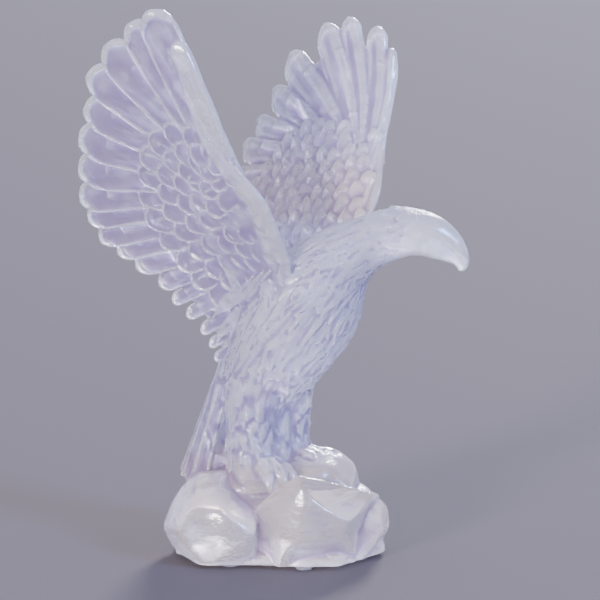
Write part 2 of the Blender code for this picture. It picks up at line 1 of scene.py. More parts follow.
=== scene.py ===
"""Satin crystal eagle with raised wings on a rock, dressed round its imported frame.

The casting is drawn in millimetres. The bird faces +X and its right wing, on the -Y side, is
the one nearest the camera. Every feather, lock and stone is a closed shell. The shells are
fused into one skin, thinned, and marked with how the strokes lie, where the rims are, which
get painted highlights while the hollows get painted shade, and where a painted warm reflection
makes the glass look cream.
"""
import math

import bmesh
import bpy
import numpy as np
from mathutils import Matrix, Vector, kdtree, noise


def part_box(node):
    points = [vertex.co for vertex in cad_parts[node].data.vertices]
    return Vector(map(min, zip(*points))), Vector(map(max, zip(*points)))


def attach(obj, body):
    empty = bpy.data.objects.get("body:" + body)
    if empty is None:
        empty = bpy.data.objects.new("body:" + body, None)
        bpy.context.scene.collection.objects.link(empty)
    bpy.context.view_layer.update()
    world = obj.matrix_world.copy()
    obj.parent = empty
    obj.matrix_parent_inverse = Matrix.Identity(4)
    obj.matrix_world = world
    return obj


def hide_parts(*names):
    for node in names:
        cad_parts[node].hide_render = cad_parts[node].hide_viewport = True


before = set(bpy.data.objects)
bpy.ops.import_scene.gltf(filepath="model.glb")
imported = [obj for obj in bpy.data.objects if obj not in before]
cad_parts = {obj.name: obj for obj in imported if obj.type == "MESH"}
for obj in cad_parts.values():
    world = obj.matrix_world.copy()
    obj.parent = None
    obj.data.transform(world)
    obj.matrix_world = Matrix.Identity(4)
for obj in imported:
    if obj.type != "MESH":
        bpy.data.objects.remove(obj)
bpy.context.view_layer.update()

MM = 0.001
CASTING_LOW, CASTING_HIGH = (np.array(corner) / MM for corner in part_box("eagle_figurine"))
UNDERSIDE = CASTING_LOW[2]
CHANCE = np.random.default_rng(11)
# The strokes of each shell start at a chance place within so many millimetres
STROKE_SHIFT = 90

# How finely the fused skin is kept: cell size, softening passes, triangles
SKIN_CELL = 0.62
SKIN_SOFTENING = 2
SKIN_TRIANGLES = 192000

# Relief, which colours hollows with painted shade and ridges with painted highlights, is read off
# the skin at two scales: smoothing passes, and millimetres from hollow to ridge
FINE_PASSES, FINE_RELIEF = 6, 0.7
BROAD_PASSES, BROAD_RELIEF = 50, 3.0
# It starts from the shells: relief away from their rims, and how much painted highlight a rim adds
PLAIN_RELIEF, RIM_HIGHLIGHT = 0.2, 0.6

# Pits in the shaggy legs and slow waves of a hand-finished mould, long and deep in millimetres
PIT_LENGTH, PIT_DEPTH = np.array([5.0, 5.0, 6.5]), 1.2
# Painted shade: how much darker a pit is coloured for each millimetre of its depth
PIT_SHADE = 0.5
WAVE_LENGTH, WAVE_DEPTH = 9.0, 0.3

# Zones, with each limit as axis, where it starts, and how far on it is full (negative: before it)
PITTED_LEGS = ((2, 50, 12), (2, 118, -20), (0, -45, 12))
# Where a painted warm reflection tints the glass cream: on the rock, and low on the left wing
WARM_REFLECTION_ROCK = ((2, 62, -12),)
WARM_REFLECTION_WING = ((1, 24, 8), (2, 165, 10), (2, 245, -40), (0, 40, -8))
# Faces that look up, and in towards the right wing, which get the painted warm reflection
LOOKING_UP = ((2, 0.25, 0.4),)
LOOKING_IN = ((1, 0.3, -0.5),)
# How much painted warm reflection the rock's sides get against its tops
SIDE_REFLECTION = 0.5

# The camera: turn and rise of the line of sight, distance, and how the photograph frames the bird
VIEW_TURN = math.radians(40)
VIEW_RISE = math.radians(9.5)
VIEW_DISTANCE = 1500.0
PHOTO_SIZE = 600
PIXELS_PER_MM = 1.74
FOOT_PIXEL = (280, 553.5)
DAYLIGHT_BREADTH = math.radians(14)
# Half the side of the studio floor, in metres
FLOOR_HALF = 30.0

# Wing blade: where it leaves the shoulder and how it spreads
WING_ROOT = (8.0, 30.0, 176.0)
WING_SPREAD = 52.0
WING_SPAN = 150.0
WING_TOE = math.radians(8.0)
WING_CAMBER = 8.0
WING_FRONT = -25.0
WING_CHORD = 150.0
LOWER_SLOPE = 0.25
# How far the feathers' roots are covered: least, and how much further in the middle of the fan
COVERT_REACH, COVERT_SWELL = 7, 35
OUTER_ROWS, INNER_ROWS, INNER_COLUMNS = 8, 20, 18
# How finely the curves of a wing are drawn
FAN_STEPS, FLESH_STEPS, ROW_STEPS, EDGE_STEPS, ARM_SIDES = 60, 30, 100, 120, 40

# Flight feather tips as (back from the root, up from the root), from the leading edge round
RIGHT_TIPS = np.array([
    (16, 121), (32, 138), (46, 131), (65, 118), (79, 102), (87, 82), (97, 63), (104, 44), (110, 27),
    (110, 15), (108, 3), (99, -4), (89, -12), (76, -22), (69, -32), (61, -40), (53, -49), (49, -57),
    (47, -65)])
LEFT_TIPS = np.array([
    (-14, 111), (-1, 123), (21, 127), (40, 122), (67, 102), (75, 80), (83, 61), (89, 46), (98, 27),
    (100, 14), (98, 2), (92, -6), (84, -14), (73, -23), (66, -33), (59, -42), (52, -50), (48, -58),
    (46, -66)])
# Where those feathers leave the arm, and the leading edge, for each wing
RIGHT_ARM = np.array([(-4, 40), (8, 56), (22, 52), (30, 32), (28, 8), (20, -14), (14, -36)])
LEFT_ARM = np.array([(-16, 44), (-2, 54), (16, 50), (28, 32), (28, 8), (20, -14), (14, -36)])
RIGHT_EDGE = np.array([
    (-16, -30), (-21, -8), (-22, 12), (-20, 33), (-11, 47), (-1, 62), (4, 79), (8, 101), (13, 117)])
LEFT_EDGE = np.array([
    (-16, -30), (-24, -8), (-28, 12), (-30, 32), (-26, 46), (-23, 62), (-22, 80), (-21, 96), (-18, 108)])

# Covert scales on the outer face, which lie along the feathers, and on the inner face, which all
# point up: how far rows and the scales in them are apart, length and width of a scale, hollow of
# its face, and smooth band left beside the leading edge
OUTER_COVERTS = dict(row_gap=11.5, gap=9.6, length=21, width=11.2, hollow=1.5, band=11)
INNER_COVERTS = dict(row_gap=7.4, gap=9.2, length=13, width=11.6, hollow=-0.7, band=5)
COVERT_HEIGHT, COVERT_SINK, COVERT_TILT = 2.2, 1.8, 0.6
COVERT_BLADE = dict(thick=3.2, border=1.5, tip_border=0.8, tip_round=0.75, steps=16)
# Chance: least and most width against the named one, and lift of the tip
COVERT_WIDTHS, COVERT_LIFTS = (0.9, 1.12), (0.2, 0.9)
# A scale closer to another than this share of the row gap is left out
CROWDED = 0.62
# Near the smooth band scales get shorter and shallower: least share, and room for the full one
LEAST_FIT, FIT_ROOM, LEAST_FADE, FADE_ROOM = 0.55, 12, 0.3, 24
# Least share of the size near the band, and how much of a larger size the length takes up
LEAST_NARROWING, LENGTHENING = 0.8, 0.9
# Outer rows: row gap, scale gap and size of the first against the named ones, how much less each
# next one has, and how much higher it stands
ROW_SPREAD, ROW_TIGHTENING = 1.3, 0.05
GAP_SPREAD, GAP_TIGHTENING = 1.45, 0.09
OUTER_SIZE, OUTER_SHRINKING, OUTER_STACKING = 1.4, 0.08, 0.02
# Millimetres in which they turn from along the feathers to inwards, and what they keep of it
TURNING_RUN, LEAST_ALONG = 28, 0.35
# The smooth band on the outer face, at the top of the wing and at its root, and where it widens
BAND_SPREAD, BAND_HEIGHT = (0.8, 1.6), 60
# Inner rows: top one, front end, fall towards the back, lean of the scales, and its gain
INNER_TOP, INNER_FRONT, INNER_FALL, INNER_LEAN, INNER_LEAN_GAIN = 78, -34, 0.12, 0.2, 0.004
INNER_HEIGHT = 0.8
# How far a scale strays from its place in a row
OUTER_STRAY, INNER_STRAY = 1, 1.5

# A feather's blade: width and thickness at its root, where along it is full, what keeps its very
# end open, how much thinner the tip is, rounding of its edges, height left there, and tilt
ROOT_WIDTH, ROOT_THICKNESS, FULL_AT, TIP_OPENING = 0.72, 0.62, 0.5, 0.004
TIP_THINNING, EDGE_ROUNDING, EDGE_HEIGHT, FEATHER_TILT = 0.4, 1.3, 0.3, -1.6
# The tip's rounding is never more than this share of the length
MOST_ROUNDING = 0.9
# A feather's hollow: how round its outer end is, and the width of the step down into it
HOLLOW_ROUNDING, HOLLOW_EDGE = 0.7, 2.2
# Marks of rims, which set painted highlights, and of hollows, which set painted shade: on a plain
# blade, on a swelling face, how far they fade on a milky tip, and the share of the rest of that
# fading at the root
PLAIN_RIM, SWELL_RIM, TIP_FADING, ROOT_FADING = 0.35, 0.3, 0.62, 0.3
# The ridges along a flight feather's swelling face: where, how broad and how high
RIDGE_PLACE, RIDGE_SPREAD, RIDGE_HEIGHT = 0.45, 0.16, 0.6

# Flight feathers: width of the first against its spacing, how much narrower the lowest get, and
# where round the fan that starts and over how much of it
FIRST_WIDTH = 0.45
LOWER_NARROWING, NARROWING_START, NARROWING_RUN = 0.4, 0.6, 0.2
FLIGHT_HOLLOW, FLIGHT_SWELL, FLIGHT_BORDER, FLIGHT_STEPS = 1.7, -0.5, 1.7, 44
# Thickness, length of the milky tip, and bow, at the first feather and at the last
FLIGHT_THICKNESS, FLIGHT_TIP, FLIGHT_BOW = (5.4, 4.4), (4.6, 2.2), (2.5, -2.5)

# The blade under the feathers: how far along them it goes, and its half thickness there
WEB_REACH, WEB_HALF = (-0.1, 0.77), (3.2, 0.9)
# The fleshy part: rows of the leading edge and share of the arm that it follows, reach, half
# thickness, and how much thinner it gets
FLESH_ROWS, FLESH_SHARE, FLESH_REACH = 5.0, 0.8, (0.1, 1.1)
FLESH_HALF, FLESH_THINNING = 4.2, 1.8
# The smooth arm along the leading edge: width and half thickness, at the top and at the root
ARM_TOP_WIDTH, ARM_ROOT_WIDTH = 8.0, 30.0
ARM_TOP_HALF, ARM_ROOT_HALF = 2.6, 5.6
# Its section: rise of the outer and the inner face, end and fall of its crest, taper, and how thin
# and how long its start at the root is
ARM_RISE, ARM_INNER_RISE, ARM_CREST, ARM_FALL, ARM_TAPER = 1.7, 1.9, 0.35, 0.75, 0.8
ARM_START, ARM_START_SHARE = 0.3, 0.2
# Millimetres of stroke across and along it
ARM_STROKES = (20, 150)

# Locks of the flanks, the body and the legs: least and most of each size, in the order of drawing
FLANK_LOCK = dict(length=(22, 34), width=(3, 5), height=(1.0, 1.7), curl=(-4, 2))
BODY_LOCK = dict(height=(1.3, 2.6), length=(17, 28), width=(2.8, 5.2), curl=(-5, 5))
LEG_LOCK = dict(length=(8, 15), width=(3.0, 5.5), height=(1.6, 2.8), curl=(-4, 4))
# From a lock's root to its point: swell, rise and half depth against its height, and mark of its
# rim for painted highlight; then fullness of its outline, and how finely it is drawn
LOCK_SWELL, LOCK_RISE, LOCK_DEPTH, LOCK_RIM = (0.14, 0.96), (-0.45, 0.35), (1.05, 0.2), (0.35, 0.85)
LOCK_FULLNESS, LOCK_STEPS, LOCK_SIDES = 0.9, 8, 10
# Locks of the flank: rows, locks in a row, the first one as back and up from the wing's root,
# steps back and down along a row, drop of a row, and stray
FLANK_ROWS, FLANK_LOCKS, FLANK_START = 7, 9, (-8, -4)
FLANK_BACK, FLANK_DOWN, FLANK_DROP, FLANK_STRAY = 4.2, 2.4, 10, 2
# How far out they lie, how much nearer each next one is, how steeply they fall, how much more so
# in each row, and the way they face
FLANK_OUT, FLANK_SINK, FLANK_FALL, FLANK_FALL_GAIN = 4.6, 0.25, 0.9, 0.3
FLANK_FACING = np.array([0.25, 1, 0.1])
# Locks down the body: least size, what a full girth adds, that girth, and the gap between locks
BODY_LEAST_SIZE, BODY_SIZE_GAIN, FULL_GIRTH, BODY_GAP = 0.42, 0.5, 30, 4.6
# How far they stray round and along the body and veer, how deep their roots lie, and the step
# that they aim by
BODY_STRAY_ROUND, BODY_STRAY_ALONG, BODY_VEER, BODY_SINK, BODY_AIM = 0.3, 0.12, 0.12, 0.985, 0.5
# How much shallower the strokes are on the head than on the body, and where that starts and is full
HEAD_SMOOTHING, HEAD_START, HEAD_RUN = 0.55, 6.6, 2.2
# Locks of the legs: rows, locks in a row, top row, drop, stray up and round, place and radius of
# the thigh that they stand on, and most sway
LEG_ROWS, LEG_LOCKS, LEG_TOP, LEG_DROP, LEG_STRAY, LEG_STRAY_ROUND = 8, 14, 106, 6.0, 2, 0.4
THIGH_BACK, THIGH_RADIUS, LEG_SWAY = -8, 12.8, 0.6

# Limbs and trunk along their spines: x, y, z, half width, half depth, turn in degrees
TRUNK = np.array([
    (-11, 0, 70, 18, 14, 0),
    (-12, 0, 88, 23, 18, 0),
    (-8, 0, 104, 26, 22, 0),
    (2, 0, 120, 30, 26, 0),
    (15, 1, 139, 32, 28, 2),
    (27, 3, 159, 29, 26, 8),
    (38, 7, 173, 22, 20, 16),
    (50, 12, 182, 15.5, 15.5, 24),
    (63, 20, 188.5, 13.5, 14.0, 30),
    (73, 25.5, 190.5, 13, 13.4, 32),
    (81, 30.5, 189, 11, 12.2, 32),
    (87, 34.4, 185.6, 8.6, 11, 32),
    (92, 37.6, 181.6, 6.4, 8.8, 32),
    (95.6, 39.8, 177.4, 4.6, 6.4, 32),
    (97.2, 41, 173, 3.0, 4.2, 32),
    (96.6, 40.8, 169, 1.4, 1.9, 32)])
# From the breast up to the wing root, on the left
SHOULDER = np.array([
    (12, 8, 122, 12, 15, 0),
    (16, 15, 140, 13, 16, 0),
    (16, 20, 153, 9.0, 12, 0),
    (13, 23, 163, 5.0, 7, 0),
    (11, 25, 171, 2.0, 3, 0)])
SKIRT = np.array([
    (-16, 0, 112, 20, 20, 0), (-20, 0, 90, 15, 26, 0), (-24, 0, 66, 14, 31, 0), (-29, 0, 44, 17, 34, 0)])
LEG_STANCE = 15
LEG = np.array([
    (-4, -2, 112, 15, 18, 0), (-8, -1, 92, 15, 17, 0), (-9, 0, 72, 13, 14, 0), (-6, 1, 56, 12, 14, 0),
    (-4, 1, 40, 11, 14, 0)])
# Toes from the ankle as reach, drop and half width, their headings, and the feet's turn outwards
TOE = ((0, 0, 6), (8, 1, 5.5), (15, 3, 5), (20, 6, 3.4), (23, 10, 1.8), (24, 13, 0.9))
TOE_HEADINGS = (-24, 0, 24)
FOOT_TURN = 10
ANKLE = np.array([-2, 16, 57])

# Tail feathers stand in a bow round the back of the legs: centres, half widths and depths of the
# bow at their roots and at their tips, and how far round it the outermost are
TAIL_COUNT = 9
TAIL_ROOT, TAIL_ROOT_BOW = np.array([-23.0, 0, 112.0]), (15, 13)
TAIL_TIP, TAIL_TIP_BOW = np.array([-34.0, 0, 40.0]), (27, 33)
TAIL_SWEEP = math.radians(84)
TAIL_WIDTH, TAIL_THICKNESS, TAIL_LEAN = 12, 4.5, 0.1
# Its blades: width at the root, thickness in the middle, start of the tip's rounding, what keeps
# it open, grooves, their depth, and thickness at the edge
TAIL_ROOT_WIDTH, TAIL_MIDDLE, TAIL_TIP_START, TAIL_OPENING = 0.7, 0.72, 0.93, 0.05
TAIL_GROOVES, TAIL_GROOVE_DEPTH, TAIL_EDGE, TAIL_STEPS = 5, 0.25, 0.25, 30

# The rock is drawn square to its broad front, which faces the camera
ROCK_TURN = math.radians(40)
STONE_SQUARENESS = 0.8
# Low ripples on the struck faces, longer than they are high, and their roughness, scaling and octaves
RIPPLE_LENGTH, RIPPLE_DEPTH, RIPPLE_STRETCH = 16.0, 0.7, np.array([0.6, 0.6, 1.3])
RIPPLE_OCTAVES = (0.6, 2.0, 3)
# Level steps: the gap between them, how they dip to the right, and how much they waver
LEDGE_GAP, LEDGE_DIP, LEDGE_WAVER = 4.2, 0.18, 6
# Strokes on stone are drawn at this share of their size, and its rims are marked for painted highlight
# like this
STONE_STROKES, STONE_RIM = 0.4, 0.45
# Stones: centre (right, forward, up), radii, flats by heading from the front towards the right,
# slope and distance from the centre, then crispness and depth of the level steps
STONES = [
    ((-35, 10, 22), (34, 32, 28),
     [(-22, 6, 28), (-78, 34, 23), (-66, -26, 27), (-24, 58, 26), (60, 50, 22.5), (88, 0, 23)], 16, 0.0),
    ((-42, 6, 5), (18, 20, 13), [(-40, 20, 14), (-20, 50, 11)], 8, 0.6),
    ((18, 18, 22), (43, 35, 45),
     [(-44, 24, 32), (-54, -4, 29), (-20, 6, 29), (50, 41, 27.5), (12, -2, 26.5), (40, -14, 27.5),
      (64, -8, 28), (20, -32, 22), (197, 40, 9)], 40, 0.0),
    ((14, 6, 2), (47, 34, 17), [(0, 90, 12), (10, 55, 23), (-30, 30, 28), (50, 30, 32)], 40, 1.3),
    ((42, 4, 20), (23.5, 26.5, 25),
     [(80, 6, 19), (44, 40, 19.5), (100, 46, 19.5), (74, -34, 18.5), (0, 90, 18.5), (24, 4, 19.5)],
     24, 0.3),
    ((-4, -2, 34), (44, 30, 28),
     [(-6, 4, 24), (-8, 62, 22), (-62, 46, 28), (40, 26, 26), (0, 90, 24), (180, 30, 22)], 12, 0.4),
    ((25, -3, 41), (23.5, 20.5, 22),
     [(78, 16, 18.5), (66, 52, 14.5), (15, 20, 17.5), (10, 74, 16)], 14, 0.4),
    ((-3, -6, 3), (57, 42, 9), [(0, 90, 7)], 10, 0.5),
    ((-30, -20, 20), (28, 24, 26), [(-120, 20, 20), (180, 15, 19), (0, 90, 19)], 10, 0.4),
    ((22, -26, 20), (28, 22, 24), [(180, 20, 17), (130, 30, 18), (0, 90, 18)], 10, 0.4)]


def along(table, place):
    """A smooth curve through the rows of a table, at a place counted in rows."""
    rows = len(table)
    first = int(min(max(place, 0), rows - 2))
    f = place - first
    a, b, c, d = (table[min(max(first + k, 0), rows - 1)] for k in (-1, 0, 1, 2))
    return 0.5 * (2 * b + (c - a) * f + (2 * a - 5 * b + 4 * c - d) * f ** 2
                  + (3 * b - a - 3 * c + d) * f ** 3)


def unit(vector):
    return vector / np.linalg.norm(vector)


def ease(value):
    """A smooth step from 0 to 1."""
    value = np.clip(value, 0, 1)
    return value * value * (3 - 2 * value)


def between(start, end, share):
    """The value a share of the way from start to end."""
    return start + (end - start) * share


def stray(most, count=None):
    """A chance shift of at most so much either way."""
    return CHANCE.uniform(-most, most, count)


def zone(values, limits):
    """How far each row of values is inside every limit of a zone, from 0 to 1."""
    inside = 1.0
    for axis, start, run in limits:
        inside = inside * ease((values[:, axis] - start) / run)
    return inside


class Casting:
    """Closed shells that are fused afterwards. Each point keeps how the strokes lie there, as
    millimetres across and along its feather, and its rim: 1 on a raised edge, 0 in a hollow. The
    rim sets painted highlight and painted shade in the colour."""

    def __init__(self):
        self.points = []
        self.faces = []
        self.lie = []
        self.rim = []
        self.count = 0

    def add(self, points, faces, lie, rim):
        self.points.append(points)
        self.faces.extend((np.asarray(face) + self.count).tolist() for face in faces)
        self.lie.append(lie)
        self.rim.append(rim)
        self.count += len(points)

    def loft(self, rings, across, along_it, rim):
        """Skins rings of equally many points and closes both ends."""
        rings = np.asarray(rings)
        rows, size = rings.shape[:2]
        k, i = np.meshgrid(np.arange(rows - 1), np.arange(size), indexing="ij")
        j = (i + 1) % size
        quads = np.stack([k * size + i, (k + 1) * size + i, (k + 1) * size + j, k * size + j], -1)
        faces = quads.reshape(-1, 4).tolist()
        faces += [list(range(size)), [i + size * (rows - 1) for i in range(size)][::-1]]
        lie = np.stack(np.broadcast_arrays(across, along_it, CHANCE.uniform(0, STROKE_SHIFT)), -1)
        lie = np.broadcast_to(lie, (rows, size, 3)).reshape(-1, 3)
        rim = np.broadcast_to(rim, (rows, size)).reshape(-1)
        self.add(rings.reshape(-1, 3), faces, lie, rim)


def ring(centre, across, deep, half_width, half_depth, count=20):
    turn = np.linspace(0, 2 * math.pi, count, endpoint=False)
    return (centre + np.outer(np.cos(turn) * half_width, across)
            + np.outer(np.sin(turn) * half_depth, deep))


def spine_frame(table, place):
    """Centre, sideways axis, belly-to-back axis and half sizes of a table row."""
    row = along(table, place)
    step = along(table, place + 0.05)[:3] - along(table, place - 0.05)[:3]
    turn = math.radians(row[5])
    across = np.array([-math.sin(turn), math.cos(turn), 0.0])
    deep = unit(np.cross(unit(step), across))
    return row[:3], across, deep, row[3], row[4]


def tube(casting, table, steps=6, count=36, rim=0.45):
    """A limb or trunk skinned along its table."""
    places = np.linspace(0, len(table) - 1, steps * (len(table) - 1) + 1)
    rings = [ring(*spine_frame(table, place), count) for place in places]
    girth = np.linspace(0, 2 * math.pi * table[:, 3].mean(), count)
    length = np.linalg.norm(table[-1, :3] - table[0, :3])
    casting.loft(rings, girth[None, :], np.linspace(0, length, len(places))[:, None], rim)


def wing_point(side, back, up, out):
    """A place on a wing: back and up from its root, and out from its blade."""
    back, up, out = np.broadcast_arrays(back, up, out)
    quarter = math.pi / 2
    share = np.clip(up / WING_SPAN, 0, 1)
    spread = np.where(up > 0, WING_SPREAD * np.sin(quarter * share), LOWER_SLOPE * up)
    upper_slope = WING_SPREAD * quarter / WING_SPAN * np.cos(quarter * share)
    slope = np.where(up > 0, upper_slope, LOWER_SLOPE)
    chord = np.clip((back - WING_FRONT) / WING_CHORD, 0, 1)
    y = WING_ROOT[1] + spread + back * math.sin(WING_TOE) - WING_CAMBER * 4 * chord * (1 - chord)
    x = WING_ROOT[0] - back * math.cos(WING_TOE)
    z = WING_ROOT[2] + up
    normal = np.stack([np.full_like(slope, math.sin(WING_TOE)), np.ones_like(slope), -slope], -1)
    normal /= np.linalg.norm(normal, axis=-1, keepdims=True)
    place = np.stack([x, y, z], -1) + normal * out[..., None]
    return place * np.array([1, side, 1])


def feather(casting, side, base, tip, width, thick, hollows, border, tip_border, tip_round, steps,
            lift=(0.0, 0.0), tilt=FEATHER_TILT, bow=0.0, ridge=0.0, painted_shine=1.0):
    """A blade with a round tip, tilted to lap the next, and a hollow for each of its two faces.
    A hollow face sinks inside a raised rim and a milky tip. A face with a negative hollow swells,
    under two low ridges that run along it. Painted shine is how strongly its rims are marked with
    painted highlight and its hollows with painted shade."""
    run = tip - base
    length = np.linalg.norm(run)
    sideways = np.array([-run[1], run[0]]) / length
    rounding = min(tip_round * width / length, MOST_ROUNDING)
    u = np.sin(math.pi / 2 * np.linspace(-1, 1, 19))[None, :]
    t = np.sin(math.pi / 2 * np.linspace(0, 1, steps + 1))[:, None]
    past = np.clip((t - 1 + rounding) / rounding, 0, 1)
    taper = between(ROOT_WIDTH, 1, np.minimum(t / FULL_AT, 1))
    half = width / 2 * taper * np.sqrt(np.maximum(1 - past ** 2, TIP_OPENING))
    back = base[0] + run[0] * t + sideways[0] * (bow * np.sin(math.pi * t) + half * u)
    up = base[1] + run[1] * t + sideways[1] * (bow * np.sin(math.pi * t) + half * u)
    middle = between(*lift, t) + tilt * u
    side_inset = half * (1 - np.abs(u))
    tip_inset = (1 - t) * length
    relief = thick / 2 * between(ROOT_THICKNESS, 1, t) * (1 - TIP_THINNING * past ** 2)
    roundness = 1 - (1 - np.clip(np.minimum(side_inset, tip_inset) / EDGE_ROUNDING, 0, 1)) ** 2
    hollow_inset = tip_inset - tip_border - HOLLOW_ROUNDING * half * u ** 2
    off_side, off_tip = ease(side_inset / border), ease(hollow_inset / HOLLOW_EDGE)
    faces, rims = [], []
    for face, hollow in zip((1, -1), hollows):
        crown = relief * between(EDGE_HEIGHT, 1, roundness) - hollow * off_side * off_tip
        # Painted highlight on the raised rim and painted shade in the hollow, darkest at its outer end
        fading = between(TIP_FADING, 1, off_tip * between(ROOT_FADING, 1, t))
        rim = between(PLAIN_RIM, 1 - off_side * fading, painted_shine)
        if hollow < 0:
            ridges = np.exp(-((np.abs(u) - RIDGE_PLACE) / RIDGE_SPREAD) ** 2) * (1 - past)
            crown = crown + ridge * ridges
            rim = np.maximum(SWELL_RIM, ridges * ridge / RIDGE_HEIGHT)
        faces.append(wing_point(side, back, up, middle + face * crown))
        rims.append(rim)
    across = half * u + 0 * t
    casting.loft(np.concatenate([faces[0], faces[1][:, ::-1]], axis=1),
                 np.concatenate([across, across[:, ::-1]], axis=1), length * t,
                 np.concatenate([rims[0], rims[1][:, ::-1]], axis=1))


def fan(tips, arm, share):
    """Base and tip of the feather that lies at a share of the fan."""
    return along(arm, share * (len(arm) - 1)), along(tips, share * (len(tips) - 1))


def wing_section(side, front, rear, reach, half):
    """A section of the wing's blade, out along one face and back along the other."""
    back, up = (between(front[axis], rear[axis], reach) for axis in (0, 1))
    return np.concatenate([wing_point(side, back, up, half), wing_point(side, back, up, -half)[::-1]])


def web(casting, side, tips, arm):
    """The blade under the feathers, which closes the wing between them."""
    reach = np.linspace(*WEB_REACH, 12)
    half = np.linspace(*WEB_HALF, len(reach))
    rings = []
    for share in np.linspace(0, 1, FAN_STEPS):
        rings.append(wing_section(side, *fan(tips, arm, share), reach, half))
    casting.loft(rings, 0.0, 0.0, rim=0.3)


def shoulder_web(casting, side, arm, edge):
    """The fleshy part of the wing between its leading edge and the roots of the feathers."""
    reach = np.linspace(*FLESH_REACH, 10)
    rings = []
    for share in np.linspace(0, 1, FLESH_STEPS):
        front = along(edge, FLESH_ROWS * share)
        rear = along(arm, (len(arm) - 1) * (1 - FLESH_SHARE * share))
        rings.append(wing_section(side, front, rear, reach, FLESH_HALF - FLESH_THINNING * share))
    casting.loft(rings, 0.0, 0.0, rim=0.7)


def leading_edge(casting, side, edge):
    """The smooth arm of the wing: a flat band on the outer face, and only a rim on the inner."""
    rows = len(edge)
    turn = np.linspace(0, 2 * math.pi, ARM_SIDES, endpoint=False)
    chord = (1 - np.cos(turn)) / 2
    fall = ARM_FALL * ease((chord - ARM_CREST) / (1 - ARM_CREST))
    outer = np.minimum(1, ARM_RISE * np.sqrt(chord)) * (1 - fall)
    inner = ARM_INNER_RISE * np.sqrt(chord) * (1 - chord) ** 3
    swell = np.where(turn < math.pi, outer, -inner)
    rings = []
    for place in np.linspace(0, rows - 1, FAN_STEPS):
        share = place / (rows - 1)
        centre = along(edge, place)
        step = along(edge, place + 0.05) - along(edge, place - 0.05)
        across = np.array([step[1], -step[0]]) / np.linalg.norm(step)
        inward = chord * between(ARM_TOP_WIDTH, ARM_ROOT_WIDTH, (1 - share) ** ARM_TAPER)
        half = between(ARM_TOP_HALF, ARM_ROOT_HALF, 1 - share)
        rings.append(wing_point(side, centre[0] + across[0] * inward, centre[1] + across[1] * inward,
                                swell * half * between(ARM_START, 1, ease(share / ARM_START_SHARE))))
    casting.loft(rings, chord[None, :] * ARM_STROKES[0],
                 np.linspace(0, ARM_STROKES[1], FAN_STEPS)[:, None], rim=0.75)


def flight_feathers(casting, side, tips, arm, lap, tip_round):
    """The long feathers, each as wide as the spacing of the tips asks, to lap the next."""
    count = len(tips)
    gaps = np.linalg.norm(np.diff(tips, axis=0), axis=1)
    for k in range(count):
        share = k / (count - 1)
        spacing = (gaps[max(k - 1, 0)] + gaps[min(k, count - 2)]) / 2
        narrowing = LOWER_NARROWING * ease((share - NARROWING_START) / NARROWING_RUN)
        width = (FIRST_WIDTH if k == 0 else lap * (1 - narrowing)) * spacing
        hollow = 0.0 if k == 0 else FLIGHT_HOLLOW
        feather(casting, side, *fan(tips, arm, share), width, between(*FLIGHT_THICKNESS, share),
                hollows=(hollow, FLIGHT_SWELL), border=FLIGHT_BORDER,
                tip_border=between(*FLIGHT_TIP, share), bow=between(*FLIGHT_BOW, share),
                tip_round=tip_round, steps=FLIGHT_STEPS, ridge=RIDGE_HEIGHT)


def covert_reach(share):
    """How far along the feathers their roots are covered."""
    return COVERT_REACH + COVERT_SWELL * math.sin(math.pi * share)


def outer_spots(tips, arm, edge_line, row_gap, gap):
    """Ends, ways and rows of the scales in rows that follow the fan of the feathers inwards."""
    shares = np.linspace(0.02, 1, ROW_STEPS)
    for row in range(OUTER_ROWS):
        line, ways = [], []
        for share in shares:
            base, tip = fan(tips, arm, share)
            reach = covert_reach(share) - row * row_gap * (ROW_SPREAD - ROW_TIGHTENING * row)
            outward = unit(tip - base)
            gaps = np.linalg.norm(edge_line - base, axis=1)
            inward = unit(edge_line[gaps.argmin()] - base)
            lean = ease(reach / TURNING_RUN + 0.5)
            line.append(base + outward * max(reach, 0) + inward * min(max(-reach, 0), gaps.min()))
            ways.append(outward * between(LEAST_ALONG, 1, lean) - inward * (1 - lean))
        walked = np.concatenate([[0], np.cumsum(np.linalg.norm(np.diff(line, axis=0), axis=1))])
        count = max(2, round(walked[-1] / (gap * (GAP_SPREAD - GAP_TIGHTENING * row))))
        for k in range(count):
            stop = (k + 0.25 + 0.5 * (row % 2)) / count * walked[-1]
            nearest = min(np.searchsorted(walked, stop), ROW_STEPS - 1)
            yield line[nearest] + stray(OUTER_STRAY, 2), unit(ways[nearest]), row


def inner_spots(tips, arm, edge_line, row_gap, gap):
    """Ends, ways and rows of the scales in level rows between the leading edge and the feathers."""
    cover = []
    for share in np.linspace(0, 1, FAN_STEPS):
        base, tip = fan(tips, arm, share)
        cover.append(base + unit(tip - base) * covert_reach(share))
    border = np.concatenate([edge_line, cover])
    following = np.roll(border, -1, axis=0)
    for row in range(INNER_ROWS):
        up = INNER_TOP - row * row_gap
        for k in range(INNER_COLUMNS):
            end = np.array([INNER_FRONT + (k + 0.5 * (row % 2)) * gap, up])
            end = end + (0, -INNER_FALL * end[0]) + stray(INNER_STRAY, 2)
            crossed = (border[:, 1] > end[1]) != (following[:, 1] > end[1])
            rise = np.where(crossed, following[:, 1] - border[:, 1], 1)
            where = border[:, 0] + (following[:, 0] - border[:, 0]) * (end[1] - border[:, 1]) / rise
            if (crossed & (where > end[0])).sum() % 2:
                yield end, unit(np.array([INNER_LEAN + INNER_LEAN_GAIN * end[0], 1])), row


